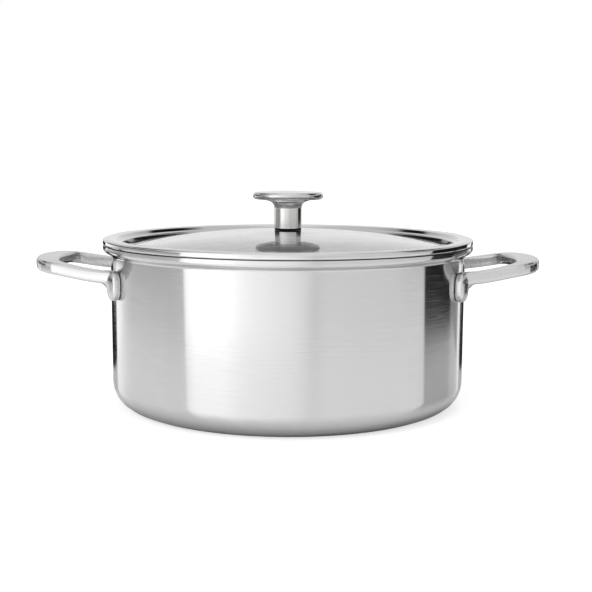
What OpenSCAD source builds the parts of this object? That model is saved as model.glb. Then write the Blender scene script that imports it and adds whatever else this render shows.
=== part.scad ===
// Lidded two-handled cooking pot in clad stainless steel, with a domed glass lid.
// Millimetres. +Z is up, the handles point along X, and the origin is the centre of the base.
//
// Sheet parts are drawn as a list of corners [r, z, bend radius] on one face of the sheet, from
// which sheet() works out the other face and the bends, and are then spun about Z.

/* [Pot] */
// Inside diameter of the straight wall
inner_d = 240; // [200:1:280]
// Height of the rim above the base
pot_h = 111.5; // [95:0.5:150]
// Outside radius of the corner between base and wall
corner_r = 17; // [12:0.5:24]
// Thickness of the outer stainless ply
outer_ply = 0.5; // [0.4:0.05:0.8]
// Thickness of the aluminium core between the steel plies
core_ply = 1.4; // [1:0.1:2.5]
// Thickness of the inner stainless ply
liner_ply = 0.5; // [0.4:0.05:0.8]
// Depth of the shallow hollow under the base, which keeps it flat when it is hot
base_hollow = 0.35; // [0.2:0.05:0.5]
// Width of the flat ring that the pot stands on
foot_ring_w = 12; // [8:1:20]

/* [Pouring lip] */
// How far the lip stands out from the wall
lip_reach = 5.2; // [4:0.2:7]
// Height of the upright face at the edge of the lip
lip_face = 3.8; // [3.5:0.1:5]
// Slope of the lip's underside from the upright
lip_slope = 66; // [50:1:70]
// Bend radius where the wall turns into the lip
lip_bend = 1.8; // [1.5:0.1:3]

/* [Handles] */
// Angle round the pot from the handle's middle to each foot
foot_angle = 23.5; // [20:0.5:28]
// Height of each foot
foot_h = 20; // [18:0.5:24]
// Width of each foot
foot_w = 15.5; // [13:0.5:17]
// How far the middle of a foot stands out from the wall
foot_t = 6.8; // [6:0.2:8]
// How much the foot's face is domed
foot_crown = 2.2; // [1:0.1:2.6]
// Rounding of the edge round the foot's face
foot_round = 0.4; // [0.3:0.1:0.8]
// Height of the top of the feet below the rim
foot_drop = 14.6; // [12:0.2:24]
// How far the grip bar's outer edge is from the pot wall
handle_reach = 52.4; // [45:0.2:65]
// Half of the distance between the two corners of the loop, along the grip bar
bar_half = 36.5; // [30:0.5:40]
// How far the middle of the grip bar bows out beyond its corners
bar_bow = 9; // [4:0.5:12]
// Radius of the loop's corners, along the middle of the bar
loop_corner_r = 16.5; // [12:0.5:22]
// Width of the grip bar at its middle
bar_w = 16.4; // [12:0.2:18]
// Width of the arms where they meet the feet
arm_w = 9; // [8:0.5:11]
// Height of the section of the grip bar at its middle
bar_t = 8; // [6.5:0.25:9]
// Height of the section of the arms
arm_t = 8.4; // [6:0.2:9]
// Rounding along the edges of the bar and the arms
bar_round = 2.6; // [1.2:0.1:3]
// How much higher the grip bar is than the arms at the feet
handle_rise = 6.8; // [3:0.2:9]
// Radius of the concave blend under each arm, where it meets its foot
arm_blend = 3.6; // [2:0.2:4]

/* [Rivets] */
// Radius of a rivet's shank
rivet_r = 2.4; // [2:0.1:3]
// Radius of the flat head inside the pot
rivet_head_r = 4.3; // [3.8:0.1:4.8]
// Thickness of the head at its middle
rivet_head_t = 1.5; // [1:0.1:2]
// Distance between the two rivets of a foot
rivet_pitch = 9.6; // [9:0.2:11]
// Depth of the rivet's hole in the foot
rivet_depth = 4.4; // [3:0.2:4.8]

/* [Lid rim] */
// Thickness of the rolled steel sheet
rim_t = 0.7; // [0.5:0.05:0.9]
// Height of the rim's outer face above the lip that it rests on
rim_h = 4; // [3.6:0.1:5]
// Width of the gently crowned top of the ring
rim_w = 8.8; // [7.5:0.1:11]
// How much the crown rises between the two edges of the ring
crown = 0.5; // [0.2:0.1:0.9]
// Depth of the funnel inside the ring, from the crown's inner edge to the ledge
funnel_depth = 2.2; // [1.5:0.1:3]
// Width of the ledge inside the ring
ledge_w = 1.7; // [1.2:0.1:2.4]
// How deep the skirt goes into the pot below the top of the lip
skirt_depth = 10.2; // [9.5:0.1:12]
// Running gap between the skirt and the inside of the wall
lid_clearance = 1; // [0.6:0.1:1.5]

/* [Lid glass] */
// Thickness of the tempered glass
glass_t = 4; // [3.5:0.25:4.5]
// How much higher the middle of the glass is than its edge
dome_rise = 11.7; // [9:0.1:14]
// How far the edge of the glass lies below the pot's rim
glass_sink = 2.3; // [1.5:0.1:3]
// Radius of the hole for the knob's screw
glass_hole_r = 4.2; // [4:0.1:5]
// Thickness of the silicone above and below the edge of the glass
seal_t = 0.5; // [0.4:0.05:0.8]

/* [Knob] */
// Diameter of the knob's flat top
knob_d = 48.6; // [42:0.2:56]
// Height of the knob above its gasket
knob_h = 24.9; // [22:0.2:32]
// Diameter of the knob's stem
stem_d = 18.8; // [16:0.2:22]
// Thickness of the knob's rim
knob_edge_t = 5; // [4:0.1:5.6]
// Slope of the underside of the knob's rim, as a drop towards the stem
knob_under_drop = 1; // [0.8:0.1:2.5]
// Radius of the concave neck between the stem and the rim
neck_r = 5.4; // [4:0.1:6.5]
// Thickness of the black gasket between the knob and the glass
knob_gasket_t = 1.2; // [0.8:0.1:1.8]
// Thickness of the gasket under the glass
under_gasket_t = 1.2; // [0.8:0.1:1.8]
// Radius of the gasket and the washer under the glass
washer_r = 9.5; // [8.5:0.1:11]
// Thickness of the steel washer
washer_t = 0.9; // [0.6:0.1:1.5]
// Radius of the screw's shank, an M5
screw_r = 2.5; // [2:0.1:3]
// Radius of the screw's head
screw_head_r = 4.8; // [4.2:0.1:5.4]
// Height of the screw's head
screw_head_t = 2.6; // [2:0.1:3.2]
// How far the screw reaches into the knob
screw_grip = 11; // [8:0.5:14]

/* [Fits] */
// Gap between pieces that rest on each other but come apart
seat_gap = 0.3; // [0.2:0.05:0.4]
// Gap round rivets, screws and edges that are set in place
set_gap = 0.05; // [0.03:0.01:0.08]

/* [Hidden] */
$fn = 96;

bend_steps = 6;          // straight steps in each bend of a sheet
spin_fn = 180;           // roundness of the large spun parts

// pot
inner_r = inner_d / 2;
wall_t = outer_ply + core_ply + liner_ply;
wall_r = inner_r + wall_t;
lip_r = wall_r + lip_reach;
lip_low_z = pot_h - lip_face;
lip_bend_z = lip_low_z - lip_reach / tan(lip_slope);
lip_edge_bend = 1.6 + wall_t / 2;

// feet and rivets
foot_top_z = pot_h - foot_drop;
foot_mid_z = foot_top_z - foot_h / 2;

// lid
rim_bottom_z = pot_h + seat_gap;
rim_top_z = rim_bottom_z + rim_h;
rim_in_r = lip_r - rim_w;                               // inner edge of the crown
ledge_r = rim_in_r - 1.6;                               // outer edge of the ledge
ledge_in_r = ledge_r - ledge_w;
rim_edge_r = ledge_in_r - 0.4;                          // where the sheet's edge meets the seal
skirt_r = inner_r - lid_clearance;
skirt_low_z = pot_h - skirt_depth;
glass_r = skirt_r - 3;
glass_edge_z = pot_h - glass_sink;                      // top of the glass at its edge
dome_r = (glass_r * glass_r + dome_rise * dome_rise) / (2 * dome_rise);
glass_top_z = glass_edge_z + dome_rise;
glass_low_z = glass_top_z - glass_t;
dome_z = glass_top_z - dome_r;                          // centre of the dome's sphere

// knob stack, from the glass upwards and downwards
knob_z = glass_top_z + knob_gasket_t;
under_seat_z = glass_low_z - pow(washer_r, 2) / (2 * dome_r) - set_gap;
washer_z = under_seat_z - under_gasket_t;
screw_seat_z = washer_z - washer_t;

// ---------------------------------------------------------------- sheet outlines

function unit(v) = v / norm(v);
function turn_left(v) = [-v.y, v.x];
function flat(p) = [p.x, p.y];

// Corner i of a line of corners, moved d to the left of the line, with its bend radius to suit.
function shifted(line, i, d) =
    let (p = flat(line[i]),
         a = i > 0 ? unit(p - flat(line[i - 1])) : unit(flat(line[i + 1]) - p),
         b = i < len(line) - 1 ? unit(flat(line[i + 1]) - p) : a,
         n = unit(turn_left(a) + turn_left(b)),
         q = p + n * d / (n * turn_left(a)),
         bends_left = a.x * b.y - a.y * b.x > 0)
    [q.x, q.y, line[i].z == 0 ? 0 : max(0, line[i].z + (bends_left ? -d : d))];
function shift_line(line, d) = [for (i = [0 : len(line) - 1]) shifted(line, i, d)];

// The points of one bend, of radius line[i].z, or the corner itself where that is 0.
function bend(line, i) =
    let (p = flat(line[i]))
    i == 0 || i == len(line) - 1 || line[i].z == 0 ? [p] :
    let (a = unit(flat(line[i - 1]) - p),
         b = unit(flat(line[i + 1]) - p),
         half = acos(max(-1, min(1, a * b))) / 2,
         r = line[i].z,
         centre = p + unit(a + b) * r / sin(half),
         from = p + a * r / tan(half) - centre,
         to = p + b * r / tan(half) - centre,
         whole = 180 - 2 * half,
         way = from.x * to.y - from.y * to.x > 0 ? 1 : -1)
    [for (k = [0 : bend_steps])
        let (t = way * whole * k / bend_steps)
        centre + [from.x * cos(t) - from.y * sin(t), from.x * sin(t) + from.y * cos(t)]];
function bent(line) = [for (i = [0 : len(line) - 1]) each bend(line, i)];
function backwards(points) = [for (i = [len(points) - 1 : -1 : 0]) points[i]];

// Outline of a sheet whose faces lie `near` and `far` to the left of a line of corners.
function sheet(line, near, far) =
    concat(bent(shift_line(line, near)), backwards(bent(shift_line(line, far))));

module spun(outline) {
    rotate_extrude($fn = spin_fn) polygon(outline);
}

// ---------------------------------------------------------------- pot

// The pot's outside, from the middle of the base to the top of the lip. Left of it is inwards.
pot_line = [[0, 0, 0], [wall_r, 0, corner_r], [wall_r, lip_bend_z, lip_bend],
            [lip_r, lip_low_z, lip_edge_bend], [lip_r, pot_h, 0]];

// Rivets are set square to the wall, in pairs, at both feet of each handle.
module at_rivets(side) {
    for (turn = [-foot_angle, foot_angle], up = [-1, 1])
        rotate([0, 0, (side < 0 ? 180 : 0) + turn])
            translate([0, 0, foot_mid_z + up * rivet_pitch / 2])
                rotate([0, 90, 0]) children();
}

module rivet_holes(r) {
    for (side = [-1, 1])
        at_rivets(side)
            translate([0, 0, inner_r - 5]) cylinder(r = r, h = wall_t + 10, $fn = 32);
}

module ply(near, far) {
    difference() {
        spun(sheet(pot_line, near, far));
        rivet_holes(rivet_r + set_gap);
    }
}

module outer_shell() {
    hollow_r = wall_r - corner_r - foot_ring_w;
    color("gainsboro")
        difference() {
            ply(0, outer_ply);
            translate([0, 0, -1])
                cylinder(r1 = hollow_r + 1, r2 = hollow_r - base_hollow, h = 1 + base_hollow, $fn = spin_fn);
        }
}

module aluminium_core() {
    color("silver") ply(outer_ply, outer_ply + core_ply);
}

module inner_liner() {
    color("lightgray") ply(outer_ply + core_ply, wall_t);
}

// ---------------------------------------------------------------- handles

function ease(t) = let (u = max(0, min(1, t))) u * u * (3 - 2 * u);
function mix(a, b, t) = a + (b - a) * t;

// The middle line of the loop seen from above, from one foot to the other.
foot_out = [cos(foot_angle), sin(foot_angle)];
foot_face_r = wall_r + foot_t;
face_x = foot_face_r * foot_out.x;
bar_x = wall_r + handle_reach - bar_w / 2;
corner_x = bar_x - bar_bow + 2;
arm_start = foot_out * (wall_r + 1.5) + turn_left(foot_out) * -1;
loop_line = [[arm_start.x, -arm_start.y, 0], [corner_x, -bar_half, loop_corner_r], [bar_x + 1.9, 0, 90],
             [corner_x, bar_half, loop_corner_r], [arm_start.x, arm_start.y, 0]];

// Distances along a line of points, and the point [x, y] at one of them.
function lengths(points) = [for (i = 0, s = 0; i < len(points);
    s = s + (i < len(points) - 1 ? norm(points[i + 1] - points[i]) : 0), i = i + 1) s];
function at_length(points, sums, s) =
    let (i = max([for (k = [0 : len(points) - 2]) if (k == 0 || sums[k] <= s) k]),
         span = sums[i + 1] - sums[i])
    mix(points[i], points[i + 1], span == 0 ? 0 : (s - sums[i]) / span);

corner_points = 5;
section_points = 4 * corner_points;
middle_line = bent(loop_line);
middle_sums = lengths(middle_line);
loop_length = middle_sums[len(middle_sums) - 1];

// Stations along the middle line: close together where the arm leaves its foot.
root_step = 1.1;
root_steps = 14;
span_steps = 36;
span_step = (loop_length - 2 * root_step * root_steps) / span_steps;
root = [for (i = [0 : root_steps]) i * root_step];
stations = concat(root, [for (i = [1 : span_steps - 1]) root_step * root_steps + i * span_step],
                  [for (i = [root_steps : -1 : 0]) loop_length - root[i]]);

// Round-cornered section of the bar, half_w and half_h from its middle to its sides.
function bar_section(half_w, half_h) =
    [for (corner = [0 : 3], k = [0 : corner_points - 1])
        let (t = 90 * corner + 90 * k / (corner_points - 1),
             way_x = corner == 0 || corner == 3 ? 1 : -1,
             way_y = corner < 2 ? 1 : -1)
        [way_x * (half_w - bar_round) + bar_round * cos(t),
         way_y * (half_h - bar_round) + bar_round * sin(t)]];

// How far a point of the arm's underside drops to blend into the face of the foot.
function root_drop(x, y) =
    let (clear = x * foot_out.x + abs(y) * foot_out.y - foot_face_r + 0.6,
         u = max(0, min(arm_blend, clear)))
    arm_blend - sqrt(pow(arm_blend, 2) - pow(arm_blend - u, 2));

// One ring of the sweep, s along the middle line.
function bar_ring(s) =
    let (p = at_length(middle_line, middle_sums, s),
         ahead = at_length(middle_line, middle_sums, min(loop_length, s + 1.5)),
         behind = at_length(middle_line, middle_sums, max(0, s - 1.5)),
         side = -turn_left(unit(ahead - behind)),
         share = ease(2 * min(s, loop_length - s) / loop_length),
         wide = mix(arm_w, bar_w, share),
         tall = mix(arm_t, bar_t, share),
         top = foot_top_z + handle_rise * ease((p.x - face_x) / (wall_r + handle_reach - face_x)))
    [for (q = bar_section(wide / 2, tall / 2))
        let (x = p.x + side.x * q.x, y = p.y + side.y * q.x)
        [x, y, top - tall / 2 + q.y - (q.y < 0 ? root_drop(x, y) : 0)]];

module bar() {
    rings = [for (s = stations) each bar_ring(s)];
    n = section_points;
    last = len(stations) - 1;
    sides = [for (i = [0 : last - 1], k = [0 : n - 1])
        [i * n + k, i * n + (k + 1) % n, (i + 1) * n + (k + 1) % n, (i + 1) * n + k]];
    ends = [[for (k = [n - 1 : -1 : 0]) k], [for (k = [0 : n - 1]) last * n + k]];
    polyhedron(points = rings, faces = concat(sides, ends), convexity = 6);
}

// Half of the foot's section, from its middle line over the domed face to its edge.
module foot_half() {
    half = foot_w / 2;
    inner = half - foot_round;
    crown_r = (inner * inner + foot_crown * foot_crown) / (2 * foot_crown);
    edge_y = foot_t - foot_crown - foot_round;
    polygon(concat([[0, -2], [half, -2]],
                   [for (t = [0 : 30 : 90]) [inner + foot_round * cos(t), edge_y + foot_round * sin(t)]],
                   [for (k = [7 : -1 : 0])
                       let (x = inner * k / 8) [x, foot_t - crown_r + sqrt(crown_r * crown_r - x * x)]]));
}

// A tall rounded button, square to the wall, before its back is cut to the wall's curve.
module foot() {
    straight = foot_h - foot_w;
    translate([wall_r, 0, foot_mid_z])
        rotate([0, 90, 0])
            union() {
                for (end = [-1, 1])
                    translate([end * straight / 2, 0, 0])
                        rotate_extrude($fn = 64) foot_half();
                translate([-straight / 2, 0, 0])
                    rotate([90, 0, 90])
                        linear_extrude(straight) {
                            foot_half();
                            mirror([1, 0]) foot_half();
                        }
            }
}

module handle() {
    difference() {
        union() {
            bar();
            for (turn = [-foot_angle, foot_angle]) rotate([0, 0, turn]) foot();
        }
        translate([0, 0, foot_top_z - foot_h - 5])
            cylinder(r = wall_r + set_gap, h = foot_h + handle_rise + 10, $fn = spin_fn);
        at_rivets(1)
            translate([0, 0, wall_r - 1]) cylinder(r = rivet_r + set_gap, h = rivet_depth + 1, $fn = 32);
    }
}

module left_handle() {
    color("gainsboro") rotate([0, 0, 180]) handle();
}

module right_handle() {
    color("gainsboro") handle();
}

module rivet() {
    shank_end = wall_r + rivet_depth - seat_gap;
    translate([0, 0, inner_r - 1]) cylinder(r = rivet_r, h = shank_end - inner_r + 1, $fn = 32);
    translate([0, 0, inner_r - rivet_head_t])
        rotate_extrude($fn = 48) intersection() {
            square([rivet_head_r, rivet_head_t + 1]);
            union() {
                translate([0, 0.6]) square([rivet_head_r, rivet_head_t + 1]);
                square([rivet_head_r - 0.6, 1]);
                translate([rivet_head_r - 0.6, 0.6]) circle(r = 0.6, $fn = 24);
            }
        }
}

module rivets(side) {
    intersection() {
        at_rivets(side) rivet();
        union() {
            translate([0, 0, foot_top_z - foot_h])
                cylinder(r = inner_r - set_gap, h = foot_h, $fn = spin_fn);
            at_rivets(side)
                translate([0, 0, inner_r - 4]) cylinder(r = rivet_r + 0.01, h = wall_t + rivet_depth + 8, $fn = 32);
        }
    }
}

module left_handle_rivets() {
    color("silver") rivets(-1);
}

module right_handle_rivets() {
    color("silver") rivets(1);
}

// ---------------------------------------------------------------- lid

function dome_top(r) = dome_z + sqrt(dome_r * dome_r - r * r);
function dome_under(r) = dome_top(r) - glass_t;

// Middle line of the rolled rim, from its edge on the glass, up over the ledge, the funnel and the
// crown, round the outer face, in above the lip, down the skirt and back under the glass.
rim_line = let (h = rim_t / 2, edge = lip_r - h, inside = skirt_r - h, ledge_z = rim_top_z - funnel_depth)
    [[rim_edge_r, dome_top(rim_edge_r) + seal_t + 2 * set_gap, 0],
     [ledge_in_r, ledge_z - 1 - h, 0.8],
     [ledge_r, ledge_z - h, 0.8],
     [rim_in_r, rim_top_z - h, 0.9],
     [(rim_in_r + edge) / 2, rim_top_z + crown - h, 9],
     [edge, rim_top_z - h, 1],
     [edge, rim_bottom_z + h, 0.9],
     [inside, rim_bottom_z + h, 0.8],
     [inside, skirt_low_z + h, 0.6],
     [inside - 1.8, skirt_low_z + h, 0.6],
     [inside - 1.8, dome_under(glass_r) - seal_t - h - set_gap, 0.5],
     [inside - 5, dome_under(glass_r - 2) - seal_t - h - set_gap, 0]];

module lid_rim() {
    color("gainsboro") spun(sheet(rim_line, -rim_t / 2, rim_t / 2));
}

// Section of a domed disc of the glass's curve, from r1 to r2, between two heights off the dome.
dome_steps = 14;
function dome_band(r1, r2, above, below) =
    concat([for (k = [0 : dome_steps]) let (r = mix(r1, r2, k / dome_steps)) [r, dome_top(r) + above]],
           [for (k = [dome_steps : -1 : 0]) let (r = mix(r1, r2, k / dome_steps)) [r, dome_top(r) - below]]);

module lid_glass() {
    color([0.8, 0.86, 0.86, 0.35]) spun(dome_band(glass_hole_r, glass_r, 0, glass_t));
}

// A channel of silicone round the edge of the glass, held in the rolled rim.
module glass_edge_seal() {
    seal_in = glass_r - 2.4;
    seal_top_in = rim_edge_r - rim_t / 2;
    seal_out = skirt_r - rim_t - set_gap;
    color("dimgray")
        difference() {
            spun([[seal_in, dome_under(seal_in) - seal_t], [seal_out, dome_under(glass_r) - seal_t],
                  [seal_out, dome_top(glass_r) + seal_t], [seal_top_in, dome_top(seal_top_in) + seal_t],
                  [seal_top_in, dome_under(seal_in)]]);
            spun(dome_band(seal_in - 1, glass_r + set_gap, set_gap, glass_t + set_gap));
        }
}

// ---------------------------------------------------------------- knob

// Outline of the knob, from the bottom of the stem round the flat top to the axis.
module knob_outline() {
    stem = stem_d / 2;
    rim = knob_d / 2;
    under = knob_h - knob_edge_t;
    edge_r = knob_edge_t / 2;
    difference() {
        union() {
            square([stem, knob_h - 0.5]);
            polygon([[0, under - knob_under_drop], [stem, under - knob_under_drop],
                     [rim - edge_r, under], [rim - edge_r, knob_h], [0, knob_h]]);
            translate([rim - edge_r, knob_h - edge_r]) circle(r = edge_r, $fn = 48);
            translate([0, under - knob_under_drop - neck_r]) square([stem + neck_r, neck_r + knob_under_drop * 0.6]);
        }
        translate([stem + neck_r, under - knob_under_drop - neck_r]) circle(r = neck_r, $fn = 64);
        translate([stem + neck_r, 0]) square([rim, under - knob_under_drop]);
        translate([stem, 0]) square([neck_r, under - knob_under_drop - neck_r]);
    }
}

module knob() {
    color("silver")
        translate([0, 0, knob_z])
            difference() {
                rotate_extrude($fn = 128) knob_outline();
                translate([0, 0, -1]) cylinder(r = screw_r + set_gap, h = screw_grip + 2.5, $fn = 48);
            }
}

module washer(r, hole, z, t) {
    translate([0, 0, z]) difference() {
        cylinder(r = r, h = t, $fn = 96);
        translate([0, 0, -1]) cylinder(r = hole, h = t + 2, $fn = 48);
    }
}

// The gasket under the knob has a collar that keeps the screw off the glass.
module knob_gasket() {
    color("black") {
        washer(stem_d / 2 - 0.15, screw_r + set_gap, glass_top_z, knob_gasket_t);
        washer(glass_hole_r - set_gap, screw_r + set_gap, glass_top_z - glass_t * 0.6, glass_t * 0.6 + 0.1);
    }
}

module under_gasket() {
    color("black") washer(washer_r, screw_r + set_gap, under_seat_z - under_gasket_t, under_gasket_t);
}

module knob_washer() {
    color("silver") washer(washer_r, screw_r + set_gap, screw_seat_z, washer_t);
}

// Pan-head screw with a cross recess, from under the glass into the knob.
module knob_screw() {
    shank = knob_z - screw_seat_z + screw_grip;
    color("silver")
        difference() {
            union() {
                translate([0, 0, screw_seat_z]) cylinder(r = screw_r, h = shank, $fn = 48);
                translate([0, 0, screw_seat_z - screw_head_t])
                    rotate_extrude($fn = 64) intersection() {
                        translate([0, screw_head_r * 1.6]) circle(r = screw_head_r * 1.6, $fn = 96);
                        square([screw_head_r, screw_head_t]);
                    }
            }
            for (turn = [0, 90])
                rotate([0, 0, turn])
                    translate([-2.2, -0.5, screw_seat_z - screw_head_t - 1]) cube([4.4, 1, 2.6]);
        }
}

outer_shell();
aluminium_core();
inner_liner();
left_handle();
right_handle();
left_handle_rivets();
right_handle_rivets();
lid_rim();
lid_glass();
glass_edge_seal();
knob();
knob_gasket();
under_gasket();
knob_washer();
knob_screw();
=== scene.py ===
# %% [markdown]
# # A lidded casserole pot in stainless steel and glass
# The pot, its two handles, the lid and the knob come as exact solids, already in their places. This
# script lights them as a studio would, and gives each surface the finish that it has on a real pot.
# Seven solids are also remade as smooth copies: the two handles, which need softer edges, and the five
# pieces that are spun, rolled, turned or pressed, because bright metal and glass show every facet.
# It starts by loading the solids.

# %% Load the pot
import bpy
import math
from mathutils import Matrix, Vector


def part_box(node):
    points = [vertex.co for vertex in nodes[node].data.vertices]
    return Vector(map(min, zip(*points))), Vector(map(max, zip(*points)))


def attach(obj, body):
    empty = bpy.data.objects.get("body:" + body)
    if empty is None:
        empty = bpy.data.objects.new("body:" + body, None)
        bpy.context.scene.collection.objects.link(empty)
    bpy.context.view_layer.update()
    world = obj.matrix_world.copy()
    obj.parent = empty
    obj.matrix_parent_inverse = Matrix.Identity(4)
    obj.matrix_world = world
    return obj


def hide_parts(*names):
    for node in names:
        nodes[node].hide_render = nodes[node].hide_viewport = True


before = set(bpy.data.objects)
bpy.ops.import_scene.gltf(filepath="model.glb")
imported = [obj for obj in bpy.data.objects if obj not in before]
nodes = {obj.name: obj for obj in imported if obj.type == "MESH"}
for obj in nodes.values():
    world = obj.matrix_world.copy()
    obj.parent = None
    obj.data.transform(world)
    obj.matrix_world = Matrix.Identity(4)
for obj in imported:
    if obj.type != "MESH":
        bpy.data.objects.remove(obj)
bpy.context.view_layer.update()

# %% [markdown]
# ## Sizes
# The sizes that the finishes need are read from the solids, so that they follow when the pot changes.
# The top of the wall turns outward into a pouring lip, which is the widest part of the pot. The wall's
# own radius is that of the lip, less the distance that the lip reaches outward.

# %% Read the sizes
mm = 0.001
lip_reach = 5.2 * mm
lip_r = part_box("outer_shell")[1].x
wall_r = lip_r - lip_reach
print("lip radius", round(lip_r / mm, 1), "mm, wall radius", round(wall_r / mm, 1), "mm")

# %% [markdown]
# ## Camera
# A product picture of a pot is taken from a little above its rim, with a fairly long lens, so that
# the wall stays upright and the lid shows as a narrow ellipse. The camera looks down by 8.8 degrees at
# the middle of the pot's height. Its lens is shifted up a little, which moves the pot down in the
# picture without tilting the wall. It is rolled by a fifth of a degree, as a camera levelled by eye is.

# %% Place the camera
camera_distance = 0.8114
aim_height = 55.8 * mm
look_down = math.radians(8.776)
roll = math.radians(0.21)
camera_data = bpy.data.cameras.new("pot_camera")
camera_data.lens = 69.93
camera_data.sensor_width = 36
camera_data.shift_x = 0.0142
camera_data.shift_y = 0.0436
camera_data.clip_start = 0.01
camera_data.dof.use_dof = False
camera = bpy.data.objects.new("pot_camera", camera_data)
bpy.context.scene.collection.objects.link(camera)
camera_place = Vector((0, -camera_distance * math.cos(look_down),
                       aim_height + camera_distance * math.sin(look_down)))
camera_turn = Matrix.Rotation(math.radians(90) - look_down, 4, "X") @ Matrix.Rotation(roll, 4, "Z")
camera.matrix_world = Matrix.Translation(camera_place) @ camera_turn
bpy.context.scene.camera = camera
bpy.context.scene.view_settings.view_transform = "Standard"
print("camera at", [round(v, 3) for v in camera_place])

# %% [markdown]
# ## Colours and nodes
# Colours are written as the hex values that a colour picker shows. The renderer wants linear light,
# so one function converts them. Another adds a node with its settings and its links, which keeps
# each finish readable as a short list. It finds an input by its name, with _ for a space, or by its
# number, as i0, i1 and so on, where several inputs share one name.

# %% Colour and node helpers
def linear(hex_colour):
    parts = [int(hex_colour[i:i + 2], 16) / 255 for i in (1, 3, 5)]
    return [p / 12.92 if p <= 0.04045 else ((p + 0.055) / 1.055) ** 2.4 for p in parts] + [1.0]


def add_node(tree, kind, settings=None, **inputs):
    node = tree.nodes.new(kind)
    for key, value in (settings or {}).items():
        setattr(node, key, value)
    for key, value in inputs.items():
        by_number = key[0] == "i" and key[1:].isdigit()
        socket = node.inputs[int(key[1:]) if by_number else key.replace("_", " ")]
        if isinstance(value, bpy.types.NodeSocket):
            tree.links.new(value, socket)
        else:
            socket.default_value = value
    return node


def new_finish(name):
    finish = bpy.data.materials.new(name)
    finish.use_nodes = True
    finish.node_tree.nodes.clear()
    return finish, finish.node_tree


def show(tree, surface):
    add_node(tree, "ShaderNodeOutputMaterial", Surface=surface)


print("white is", linear("#FFFFFF")[:3], "middle grey is", [round(v, 3) for v in linear("#808080")[:3]])

# %% [markdown]
# ## The studio round the pot
# Bright metal has hardly any look of its own: it shows the room. In a studio, white sheets and black
# cards stand round a pot, and they become the tall bright and dark stripes in its wall. A card at an
# angle to the camera shows in the wall at about half that angle. The sheets and cards could be
# modelled, but here the room is the world itself, which needs no geometry and reaches every side of
# the pot. It is made of five rings of greys, laid out by compass angle and stacked by height:
# - low_ring: the sheets and cards that stand on the floor, as the wall mirrors them.
# - card_tops: their upper ends, as the lid and the knob mirror them.
# - high_ring: a pale room above the cards, with a dark screen at each side. The screens draw the
#   black lines in the lid's steel ring.
# - pale_ring: a pale strip across the screens. The flat tops of the knob and the lid's ring mirror it
#   when they are seen from the side, and without it they would look black.
# - upper_ring: the upper ends of the screens, which draw the outer streaks on the lid's ring.

# %% Sheets, cards and screens, as (degrees to the right of the camera, brightness)
low_ring = [
    (-180, 0.01), (-147.5, 0.01), (-145, 1.08), (-135, 1.06), (-128, 0.82), (-118, 0.72),
    (-84, 0.74), (-78, 0.64), (-67.6, 0.65), (-66.6, 1.25), (-60, 1.55), (-42, 1.57), (-34, 1.42),
    (-27, 1.28), (3, 1.04), (10, 0.89), (17, 0.72), (25, 0.83), (50, 0.79), (72, 0.78), (82, 0.86),
    (95.6, 0.80), (96.8, 0.01), (126.5, 0.01), (129, 0.26), (141.5, 0.36), (144.5, 0.95),
    (148.5, 0.90), (150.5, 0.01), (180, 0.01)]
card_tops = [
    (-180, 0.01), (-153, 0.01), (-151, 1.05), (-138, 1.00), (-132, 0.75), (-122, 0.42), (-69, 0.34),
    (-67.6, 0.36), (-66.6, 1.20), (-60, 1.50), (-42, 1.50), (-34, 1.30), (-20, 1.05), (3, 0.90),
    (17, 0.68), (50, 0.70), (95.6, 0.62), (96.8, 0.01), (142, 0.01), (144, 1.00), (154, 1.00),
    (156, 0.01), (180, 0.01)]
high_ring = [
    (-180, 0.70), (-150, 0.62), (-142, 0.01), (-84, 0.01), (-76, 0.80), (-62, 1.25), (-40, 1.25),
    (-20, 1.05), (20, 0.80), (72, 0.70), (80, 0.01), (142, 0.01), (150, 0.62), (180, 0.70)]
pale_ring = [
    (-180, 0.70), (-150, 0.62), (-142, 0.50), (-116, 0.45), (-110, 0.45), (-76, 0.60), (-62, 1.25),
    (-40, 1.25), (-20, 1.05), (20, 0.80), (72, 0.70), (88, 0.60), (94, 0.50), (142, 0.50),
    (150, 0.62), (180, 0.70)]
upper_ring = [
    (-180, 0.70), (-150, 0.62), (-142, 0.01), (-116, 0.01), (-110, 0.45), (-76, 0.60), (-62, 1.25),
    (-40, 1.25), (-20, 1.05), (20, 0.80), (72, 0.70), (88, 0.60), (94, 0.01), (142, 0.01),
    (150, 0.62), (180, 0.70)]
rings = [low_ring, card_tops, high_ring, pale_ring, upper_ring]
print("rings of", [len(greys) for greys in rings], "greys")

# %% [markdown]
# ### How the rings become a room
# A colour ramp turns the compass angle, taken from 0 to 1, into a ring's greys. It starts with two
# stops, which become the first and the last grey. A ring is then laid over the ones below it from a
# given height, where the height is the Z of the direction looked in: 0 is level, 1 straight up. A
# short soft change between them keeps a hard line out of the steel.

# %% Ring and layer helpers
smooth = {"interpolation_type": "SMOOTHSTEP"}


def grey_ring(tree, turn, greys):
    ring = add_node(tree, "ShaderNodeValToRGB", Fac=turn)
    stops = ring.color_ramp.elements
    for degrees, grey in greys:
        if degrees == -180:
            stop = stops[0]
        elif degrees == 180:
            stop = stops[-1]
        else:
            stop = stops.new((degrees + 180) / 360)
        stop.color = (grey, grey, grey, 1)
    return ring.outputs["Color"]


def layer_above(tree, height, start, end, below, above):
    share = add_node(tree, "ShaderNodeMapRange", smooth, i0=height, i1=start, i2=end, i3=0.0, i4=1.0)
    return add_node(tree, "ShaderNodeMix", {"data_type": "RGBA"}, i0=share.outputs[0], i6=below,
                    i7=above).outputs[2]


print("ring and layer helpers ready")

# %% [markdown]
# ### The compass angle
# The world is looked up by direction, as a point on a sphere round the pot. Its X and Y give the
# compass angle, which is 0 towards the camera and grows to the camera's right, and its Z the height.
# The angle is brought to the range from 0 to 1, which the ramps want.

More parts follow.
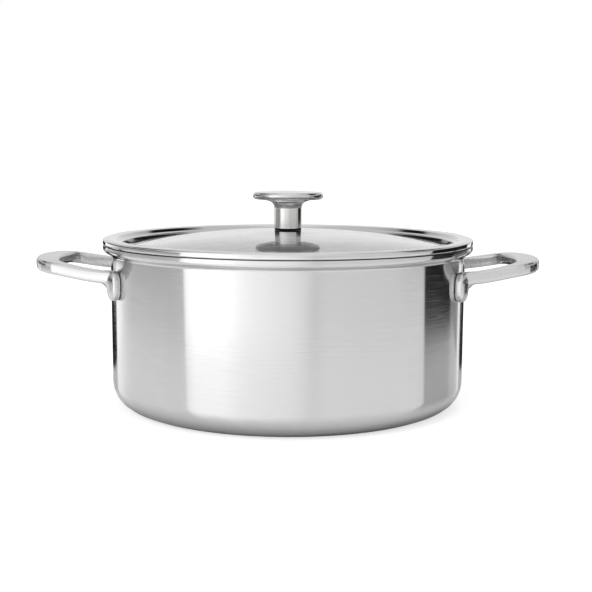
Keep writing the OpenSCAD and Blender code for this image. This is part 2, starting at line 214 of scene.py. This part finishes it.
# %% Find the compass angle
world = bpy.data.worlds.new("studio")
bpy.context.scene.world = world
world.use_nodes = True
sky = world.node_tree
sky.nodes.clear()
way = add_node(sky, "ShaderNodeTexCoord")
xyz = add_node(sky, "ShaderNodeSeparateXYZ", i0=way.outputs["Generated"])
towards = add_node(sky, "ShaderNodeMath", {"operation": "MULTIPLY"}, i0=xyz.outputs["Y"], i1=-1.0)
compass = add_node(sky, "ShaderNodeMath", {"operation": "ARCTAN2"}, i0=xyz.outputs["X"],
                   i1=towards.outputs[0])
turn = add_node(sky, "ShaderNodeMapRange", i0=compass.outputs[0], i1=-math.pi, i2=math.pi, i3=0.0,
                i4=1.0)
print("angle nodes", len(sky.nodes))

# %% [markdown]
# ### The room
# The rings are stacked, and a grey ceiling with a skylight closes the room. The camera, and whatever
# is seen straight through the glass, gets plain white instead, as on a roll of white paper. So the
# background stays white whatever the cards do, and no light is added to the pot for it.

# %% Stack the rings
room_strength = 1.32
low, tops, high, pale, upper = [grey_ring(sky, turn.outputs[0], greys) for greys in rings]
ceiling = (0.62, 0.62, 0.62, 1)
skylight = (1.0, 1.0, 1.0, 1)
layers = [(-0.118, -0.098, tops), (-0.04, 0.0, high), (0.18, 0.24, pale), (0.50, 0.56, upper),
          (0.72, 0.84, ceiling), (0.90, 0.96, skylight)]
room = low
for start, end, above in layers:
    room = layer_above(sky, xyz.outputs["Z"], start, end, room, above)
room_light = add_node(sky, "ShaderNodeBackground", Color=room, Strength=room_strength)
paper_roll = add_node(sky, "ShaderNodeBackground", Color=(1, 1, 1, 1), Strength=1.0)
path = add_node(sky, "ShaderNodeLightPath")
straight = add_node(sky, "ShaderNodeMath", {"operation": "MAXIMUM"}, i0=path.outputs["Is Camera Ray"],
                    i1=path.outputs["Is Transmission Ray"])
seen = add_node(sky, "ShaderNodeMixShader", i0=straight.outputs[0], i1=room_light.outputs[0],
                i2=paper_roll.outputs[0])
add_node(sky, "ShaderNodeOutputWorld", Surface=seen.outputs[0])
print("studio of", len(layers) + 1, "layers")

# %% [markdown]
# ## Floor
# The floor is a wide sheet of white paper with a slight sheen, and a plane is enough for it. Most of
# it lies behind the pot, where it fills the view. Its place is then made part of its mesh, so that
# its finish can measure distances from the middle of the pot.

# %% Lay the paper
paper_size = 12
bpy.ops.mesh.primitive_plane_add(size=paper_size, location=(0, paper_size / 4, 0))
floor = bpy.context.object
floor.name = "paper_floor"
bpy.ops.object.transform_apply(location=True)
print("floor", [round(v, 1) for v in floor.dimensions])

# %% [markdown]
# ### Where the steel mirrors the paper
# Satin paper mirrors more, the flatter it is looked at, and the pot's wall looks at it very flatly. So
# the wall shows plain paper only near its foot, and further out it shows the cards that the paper
# mirrors. The simple way to get that is to let mirrored rays pass through the paper to the studio:
# in part from the foot on, in full from 42 cm beyond the lip, and behind the pot in full from 9 cm,
# because cards stand there. "Behind" is a wide wedge that opens away from the camera. Every other
# ray meets the paper as it is.

# %% How far the paper gives way in mirrored rays
clear_at_foot = 0.45
wedge_slope = 0.5
paper_white, tree = new_finish("satin_white_paper")
path = add_node(tree, "ShaderNodeLightPath")
place = add_node(tree, "ShaderNodeTexCoord").outputs["Object"]
reach = add_node(tree, "ShaderNodeVectorMath", {"operation": "LENGTH"}, i0=place).outputs["Value"]
sheen = add_node(tree, "ShaderNodeMapRange", smooth, i0=reach, i1=lip_r - 6 * mm, i2=lip_r + 30 * mm,
                 i3=0.0, i4=clear_at_foot)
beyond = add_node(tree, "ShaderNodeMapRange", smooth, i0=reach, i1=lip_r + 110 * mm,
                  i2=lip_r + 420 * mm, i3=0.0, i4=1.0)
depth = add_node(tree, "ShaderNodeSeparateXYZ", i0=place)
aside = add_node(tree, "ShaderNodeMath", {"operation": "ABSOLUTE"}, i0=depth.outputs["X"])
wedge = add_node(tree, "ShaderNodeMath", {"operation": "MULTIPLY_ADD"}, i0=aside.outputs[0],
                 i1=-wedge_slope, i2=depth.outputs["Y"])
behind = add_node(tree, "ShaderNodeMapRange", smooth, i0=wedge.outputs[0], i1=-20 * mm, i2=20 * mm,
                  i3=0.0, i4=1.0)
away = add_node(tree, "ShaderNodeMapRange", smooth, i0=reach, i1=lip_r + 40 * mm, i2=lip_r + 90 * mm,
                i3=0.0, i4=1.0)
back = add_node(tree, "ShaderNodeMath", {"operation": "MULTIPLY"}, i0=behind.outputs[0],
                i1=away.outputs[0])
further = add_node(tree, "ShaderNodeMath", {"operation": "MAXIMUM"}, i0=beyond.outputs[0],
                   i1=back.outputs[0])
cards = add_node(tree, "ShaderNodeMath", {"operation": "MAXIMUM"}, i0=sheen.outputs[0],
                 i1=further.outputs[0])
hidden = add_node(tree, "ShaderNodeMath", {"operation": "MULTIPLY"}, i0=cards.outputs[0],
                  i1=path.outputs["Is Glossy Ray"])
print("in mirrored rays the paper starts to clear", round(lip_r / mm - 6), "mm from the middle")

# %% [markdown]
# ### How bright the paper is
# The paper is matt white, which takes the pot's soft shadow. For the camera it also glows a little, and
# a wash of plain white is laid over it, so that it is nearly as bright as the background and its
# shadow stays thin. For every other ray the glow rises only from the pot's foot outward, so the paper
# near the foot is darker in the steel: painted shade. Under the pot's rounded bottom edge hardly any
# light arrives. The steel there mirrors that dark gap, which sets the pot down on the floor, and the
# paper near the foot is also mixed towards black in mirrored rays as painted shade for that gap.

# %% Mix the paper
camera_glow = 0.4
white_wash = 0.45
gap_shade = 0.36
straight = add_node(tree, "ShaderNodeMath", {"operation": "MAXIMUM"}, i0=path.outputs["Is Camera Ray"],
                    i1=path.outputs["Is Transmission Ray"])
lift = add_node(tree, "ShaderNodeMath", {"operation": "MAXIMUM"}, i0=straight.outputs[0],
                i1=sheen.outputs[0])
# Painted shade: away from the camera the glow fades out towards the pot's foot.
glow_share = add_node(tree, "ShaderNodeMath", {"operation": "MULTIPLY"}, i0=lift.outputs[0],
                      i1=camera_glow)
glow = add_node(tree, "ShaderNodeEmission", Color=(1, 1, 1, 1), Strength=glow_share.outputs[0])
matt = add_node(tree, "ShaderNodeBsdfDiffuse", Color=linear("#F2F2F2"))
paper = add_node(tree, "ShaderNodeAddShader", i0=matt.outputs[0], i1=glow.outputs[0])
bright = add_node(tree, "ShaderNodeEmission", Color=(1, 1, 1, 1), Strength=1.0)
wash = add_node(tree, "ShaderNodeMath", {"operation": "MULTIPLY"}, i0=straight.outputs[0],
                i1=white_wash)
washed = add_node(tree, "ShaderNodeMixShader", i0=wash.outputs[0], i1=paper.outputs[0],
                  i2=bright.outputs[0])
# Painted shade: near the foot the paper is mixed towards black in mirrored rays.
gap = add_node(tree, "ShaderNodeMapRange", smooth, i0=reach, i1=lip_r - 18 * mm, i2=lip_r + 2 * mm,
               i3=gap_shade, i4=0.0)
dim = add_node(tree, "ShaderNodeMath", {"operation": "MULTIPLY"}, i0=gap.outputs[0],
               i1=path.outputs["Is Glossy Ray"])
painted_shade_black = add_node(tree, "ShaderNodeBsdfDiffuse", Color=(0, 0, 0, 1))
dimmed = add_node(tree, "ShaderNodeMixShader", i0=dim.outputs[0], i1=washed.outputs[0],
                  i2=painted_shade_black.outputs[0])
clear = add_node(tree, "ShaderNodeBsdfTransparent")
seen = add_node(tree, "ShaderNodeMixShader", i0=hidden.outputs[0], i1=dimmed.outputs[0],
                i2=clear.outputs[0])
show(tree, seen.outputs[0])
floor.data.materials.append(paper_white)
print("paper finish of", len(tree.nodes), "nodes")

# %% [markdown]
# ## Lamps
# Two wide soft lamps, one high on the left and one above, light what is matt: the paper, with the
# pot's soft shadow on it, and the silicone. They are large and dim, so that the shadow stays soft,
# and they are hidden from mirrored rays, because they would show in the steel as two hard squares.

# %% Hang the lamps
def soft_lamp(name, place, target, wide, tall, watts):
    lamp_data = bpy.data.lights.new(name, "AREA")
    lamp_data.shape = "RECTANGLE"
    lamp_data.size = wide
    lamp_data.size_y = tall
    lamp_data.energy = watts
    lamp = bpy.data.objects.new(name, lamp_data)
    bpy.context.scene.collection.objects.link(lamp)
    look = (Vector(target) - Vector(place)).to_track_quat("-Z", "Y")
    lamp.matrix_world = Matrix.Translation(place) @ look.to_matrix().to_4x4()
    lamp.visible_glossy = False


soft_lamp("left_softbox", (-1.1, -1.3, 1.2), (0, 0, 0.08), 0.7, 0.7, 7)
soft_lamp("top_softbox", (0.2, 0.1, 1.6), (0, 0, 0.1), 1.2, 1.0, 4)

# %% [markdown]
# ## Brushed stainless steel
# The pot is stainless steel, spun and then brushed: an abrasive belt runs round it and leaves
# scratches that all follow the wall. They blur a reflection up and down but keep it sharp
# sideways, which is why the stripes in the wall have crisp upright edges. The shader does this with
# anisotropy along the turning direction. The lid's ring and the knob are turned in the same way,
# with finer marks and more polish, and the inside of the pot is a duller satin.
#
# The scratches themselves are about 0.1 mm wide, too fine to show, so on the wall the streaks are
# drawn 0.8 mm high and about 17 mm long. Noise makes them. The direction round the pot enters it as
# a point on a circle, so that the pattern has no seam, and height and radius together as the third
# coordinate, so that the streaks run round on the wall, on the lip and on the base alike. They vary
# the gloss by about a third, tint the steel a little and give it a very shallow relief. Most of the
# noise lies between a quarter and three quarters, so that range is spread over the whole effect. The
# shader's direction runs round the pot, and a quarter turn of it stretches highlights up the wall.

# %% Finish for everything that is spun and brushed
streaks_per_radian = 7.0
gloss_spread = 0.35
groove_depth = 0.02 * mm
noise_low, noise_high = 0.25, 0.75
quarter_turn = 0.25


def spun_steel(name, colour, roughness, anisotropy, streak_mm, relief, tone=0.05):
    finish, tree = new_finish(name)
    place = add_node(tree, "ShaderNodeTexCoord").outputs["Object"]
    flat = add_node(tree, "ShaderNodeVectorMath", {"operation": "MULTIPLY"}, i0=place, i1=(1, 1, 0))
    radius = add_node(tree, "ShaderNodeVectorMath", {"operation": "LENGTH"}, i0=flat.outputs[0])
    round_way = add_node(tree, "ShaderNodeVectorMath", {"operation": "NORMALIZE"}, i0=flat.outputs[0])
    spread = add_node(tree, "ShaderNodeVectorMath", {"operation": "SCALE"}, i0=round_way.outputs[0],
                      Scale=streaks_per_radian)
    height = add_node(tree, "ShaderNodeSeparateXYZ", i0=place)
    along = add_node(tree, "ShaderNodeMath", {"operation": "ADD"}, i0=radius.outputs["Value"],
                     i1=height.outputs["Z"])
    fine = add_node(tree, "ShaderNodeMath", {"operation": "MULTIPLY"}, i0=along.outputs[0],
                    i1=1 / (streak_mm * mm))
    rise = add_node(tree, "ShaderNodeCombineXYZ", i2=fine.outputs[0])
    where = add_node(tree, "ShaderNodeVectorMath", {"operation": "ADD"}, i0=spread.outputs[0],
                     i1=rise.outputs[0])
    streaks = add_node(tree, "ShaderNodeTexNoise", i0=where.outputs[0], Scale=1.0, Detail=3.0,
                       Roughness=0.6)
    shade = add_node(tree, "ShaderNodeMapRange", i0=streaks.outputs[0], i1=noise_low, i2=noise_high,
                     i3=1.0 - tone, i4=1.0)
    metal = add_node(tree, "ShaderNodeVectorMath", {"operation": "SCALE"}, i0=linear(colour)[:3],
                     Scale=shade.outputs[0])
    gloss = add_node(tree, "ShaderNodeMapRange", i0=streaks.outputs[0], i1=noise_low, i2=noise_high,
                     i3=roughness * (1 - gloss_spread), i4=roughness * (1 + gloss_spread))
    grooves = add_node(tree, "ShaderNodeBump", Strength=relief, Distance=groove_depth,
                       Height=streaks.outputs[0])
    round_z = add_node(tree, "ShaderNodeTangent", {"direction_type": "RADIAL", "axis": "Z"})
    steel = add_node(tree, "ShaderNodeBsdfPrincipled", Metallic=1.0, Anisotropic=anisotropy,
                     Anisotropic_Rotation=quarter_turn, Tangent=round_z.outputs[0],
                     Base_Color=metal.outputs[0], Roughness=gloss.outputs[0],
                     Normal=grooves.outputs[0])
    show(tree, steel.outputs[0])
    return finish


pot_steel = spun_steel("belt_brushed_stainless_pot", "#C9C9C9", 0.13, 1.0, 0.8, 0.06)
liner_steel = spun_steel("satin_stainless_liner", "#D5D5D4", 0.36, 0.5, 0.8, 0.05, 0.02)
rim_steel = spun_steel("polished_stainless_lid_rim", "#CACAC9", 0.08, 0.8, 0.5, 0.04, 0.02)
knob_steel = spun_steel("turned_satin_stainless_knob", "#C6C6C5", 0.11, 0.9, 0.35, 0.06, 0.03)
print("streaks on the wall are", round(wall_r / mm / streaks_per_radian, 1), "mm long")

# %% [markdown]
# ## Metal without a direction
# The handles are castings, tumbled with abrasive stones. That leaves a half-bright skin with no
# direction, fine scuffs of about 0.6 mm, and shallow dimples a few millimetres apart. Rivets, screw
# and washer are tumbled too, and they are smaller, so their dimples are closer together. The same
# nodes serve for the aluminium inside the wall, which is rolled: a duller metal with a bluish white.

# %% Finish for the handles, the small hardware and the core
scuff_size = 0.6 * mm
dimple_depth = 0.05 * mm
scuff_low, scuff_high = 0.3, 0.7
smoothest, roughest = 0.8, 1.25


def plain_metal(name, colour, roughness, dimple_mm, relief):
    finish, tree = new_finish(name)
    place = add_node(tree, "ShaderNodeTexCoord").outputs["Object"]
    dimples = add_node(tree, "ShaderNodeTexNoise", i0=place, Scale=1 / (dimple_mm * mm), Detail=2.0)
    scuffs = add_node(tree, "ShaderNodeTexNoise", i0=place, Scale=1 / scuff_size, Detail=4.0,
                      Roughness=0.65)
    gloss = add_node(tree, "ShaderNodeMapRange", i0=scuffs.outputs[0], i1=scuff_low, i2=scuff_high,
                     i3=roughness * smoothest, i4=roughness * roughest)
    skin = add_node(tree, "ShaderNodeBump", Strength=relief, Distance=dimple_depth,
                    Height=dimples.outputs[0])
    metal = add_node(tree, "ShaderNodeBsdfPrincipled", Metallic=1.0, Base_Color=linear(colour),
                     Roughness=gloss.outputs[0], Normal=skin.outputs[0])
    show(tree, metal.outputs[0])
    return finish


handle_steel = plain_metal("tumbled_stainless_handle", "#C9C9C9", 0.24, 4.0, 0.15)
rivet_steel = plain_metal("stainless_rivet", "#C4C4C3", 0.28, 2.0, 0.1)
fastener_steel = plain_metal("bright_stainless_fastener", "#C4C4C3", 0.22, 1.5, 0.05)
core_aluminium = plain_metal("rolled_aluminium_core", "#E1E2E3", 0.4, 2.0, 0.05)
print("undirected metals ready")

# %% [markdown]
# ## Tempered glass
# The lid's dome is clear soda-lime glass, 4 mm thick. It is nearly colourless, with an index of
# refraction of 1.52. Because the solid has its real thickness, the shader alone gives the two
# reflections and the slightly darker edge of real glass.

# %% Finish of the glass
lid_glass, tree = new_finish("tempered_soda_lime_glass")
glass = add_node(tree, "ShaderNodeBsdfPrincipled", Base_Color=linear("#FDFEFE"), Roughness=0.02,
                 Transmission_Weight=1.0, IOR=1.52)
show(tree, glass.outputs[0])
print("glass ready")

# %% [markdown]
# ## Moulded silicone
# A dark grey channel of silicone holds the edge of the glass, and black gaskets sit above and below
# the glass at the knob. Moulded silicone is soft and matt, with a fine grain that the mould leaves.
# The gaskets lie in a narrow joint where little light arrives, and their shine is turned down as
# painted shade for that joint.

# %% Finish of the channel and the gaskets
grain_size = 0.5 * mm
grain_depth = 0.03 * mm
grain_relief = 0.1


def silicone(name, colour, roughness, shine=0.5):
    finish, tree = new_finish(name)
    place = add_node(tree, "ShaderNodeTexCoord").outputs["Object"]
    grain = add_node(tree, "ShaderNodeTexNoise", i0=place, Scale=1 / grain_size, Detail=3.0)
    skin = add_node(tree, "ShaderNodeBump", Strength=grain_relief, Distance=grain_depth,
                    Height=grain.outputs[0])
    rubber = add_node(tree, "ShaderNodeBsdfPrincipled", Base_Color=linear(colour),
                      Roughness=roughness, Specular_IOR_Level=shine, Normal=skin.outputs[0])
    show(tree, rubber.outputs[0])
    return finish


seal_silicone = silicone("moulded_grey_silicone_seal", "#4A4A4A", 0.5)
# The gaskets' low shine of 0.12 is painted shade for the narrow joint at the knob.
gasket_silicone = silicone("moulded_black_silicone_gasket", "#0A0A0A", 0.6, 0.12)
print("silicones ready")

# %% [markdown]
# ## Put the finishes on the solids
# Each solid keeps its exact shape and gets its finish in its own material slot. The table is also used
# below, where a smooth copy takes the finish of the solid that it stands for.

# %% Dress the solids
finishes = {
    "outer_shell": pot_steel, "aluminium_core": core_aluminium, "inner_liner": liner_steel,
    "left_handle": handle_steel, "right_handle": handle_steel,
    "left_handle_rivets": rivet_steel, "right_handle_rivets": rivet_steel,
    "lid_rim": rim_steel, "lid_glass": lid_glass, "glass_edge_seal": seal_silicone,
    "knob": knob_steel, "knob_gasket": gasket_silicone, "under_gasket": gasket_silicone,
    "knob_washer": fastener_steel, "knob_screw": fastener_steel}
for name, finish in finishes.items():
    nodes[name].material_slots[0].material = finish
print("dressed", len(finishes), "solids")

# %% [markdown]
# ## Copies that stand in for solids
# A solid's own mesh is loose triangles and is never changed. To give it softer edges or smoother
# shading, it is copied, and the copy's triangles are merged into one skin. The copy then rides on the
# same body, hides the solid in the picture, and takes its finish and its slot.

# %% Helpers for the copies
merge_distance = 0.01 * mm


def merged_copy(name, node):
    bpy.ops.object.select_all(action="DESELECT")
    piece = nodes[node].copy()
    piece.data = nodes[node].data.copy()
    piece.name = piece.data.name = name
    piece.parent = None
    bpy.context.scene.collection.objects.link(piece)
    piece.select_set(True)
    bpy.context.view_layer.objects.active = piece
    bpy.ops.object.mode_set(mode="EDIT")
    bpy.ops.mesh.select_all(action="SELECT")
    bpy.ops.mesh.remove_doubles(threshold=merge_distance)
    bpy.ops.object.mode_set(mode="OBJECT")
    if piece.data.has_custom_normals:
        bpy.ops.mesh.customdata_custom_splitnormals_clear()
    return piece


def stand_in(piece, node, body):
    piece.data.materials.clear()
    piece.data.materials.append(finishes[node])
    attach(piece, body)
    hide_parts(node)
    print(piece.name, len(piece.data.polygons), "faces")


print("copying helpers ready")

# %% [markdown]
# ## The handles
# On the real pot each handle is one casting. Its edges are rounded by the tumbling, the arms flow
# into the feet with small fillets, and the two oval feet are domed like pebbles. The solid has the
# right form but crisp joints between its parts. Bevels can't follow such joints, so the copy is
# rebuilt as an even skin of small cells, and smoothed a little, which rounds every inner and outer
# corner by the same small amount. The feet, which lie within 9 mm of the wall, are smoothed for
# longer, and that domes them. The effect fades out over the last 2 mm, where the arms begin.

# %% Soften a copy of each handle
cell_size = 0.55 * mm
foot_height = 9 * mm
fade = 2 * mm
tumbling_rounds = 2
doming_rounds = 24
each_round = 0.5

for side in ("left", "right"):
    handle = merged_copy(side + "_handle_soft", side + "_handle")
    cells = handle.modifiers.new("even_cells", "REMESH")
    cells.mode = "VOXEL"
    cells.voxel_size = cell_size
    cells.use_smooth_shade = True
    bpy.ops.object.modifier_apply(modifier=cells.name)
    soften = handle.modifiers.new("tumbling", "SMOOTH")
    soften.factor = each_round
    soften.iterations = tumbling_rounds
    bpy.ops.object.modifier_apply(modifier=soften.name)
    feet = handle.vertex_groups.new(name="feet")
    for vertex in handle.data.vertices:
        out = math.hypot(vertex.co.x, vertex.co.y) - wall_r
        share = min(1, max(0, (foot_height - out) / fade))
        feet.add([vertex.index], share, "REPLACE")
    dome = handle.modifiers.new("domed_feet", "SMOOTH")
    dome.factor = each_round
    dome.iterations = doming_rounds
    dome.vertex_group = "feet"
    bpy.ops.object.modifier_apply(modifier=dome.name)
    bpy.ops.object.shade_smooth()
    stand_in(handle, side + "_handle", "pot")

# %% [markdown]
# ## Even shading on what is spun
# Spinning and pressing leave a surface with no breaks in it. In the solids a rounded edge is a row
# of narrow bands, and a mirror finish would show each of them as a line. A copy of the same shape is
# shaded as one surface across the bands, and keeps the corners of more than 32 degrees, which are
# sharp on the real part. Its wide faces are given most weight, so that they stay flat in the light
# right up to a rounded edge.

# %% Shade copies of the spun pieces as one surface
sharp_corner = math.radians(32)
wide_face_weight = 80


def evened(name, node, body):
    piece = merged_copy(name, node)
    bpy.ops.object.shade_smooth_by_angle(angle=sharp_corner)
    weigh = piece.modifiers.new("flat_faces_lead", "WEIGHTED_NORMAL")
    weigh.keep_sharp = True
    weigh.weight = wide_face_weight
    bpy.ops.object.modifier_apply(modifier=weigh.name)
    stand_in(piece, node, body)


evened("outer_shell_spun", "outer_shell", "pot")
evened("inner_liner_spun", "inner_liner", "pot")
evened("lid_rim_rolled", "lid_rim", "lid")
evened("knob_turned", "knob", "lid")
evened("lid_glass_pressed", "lid_glass", "lid")
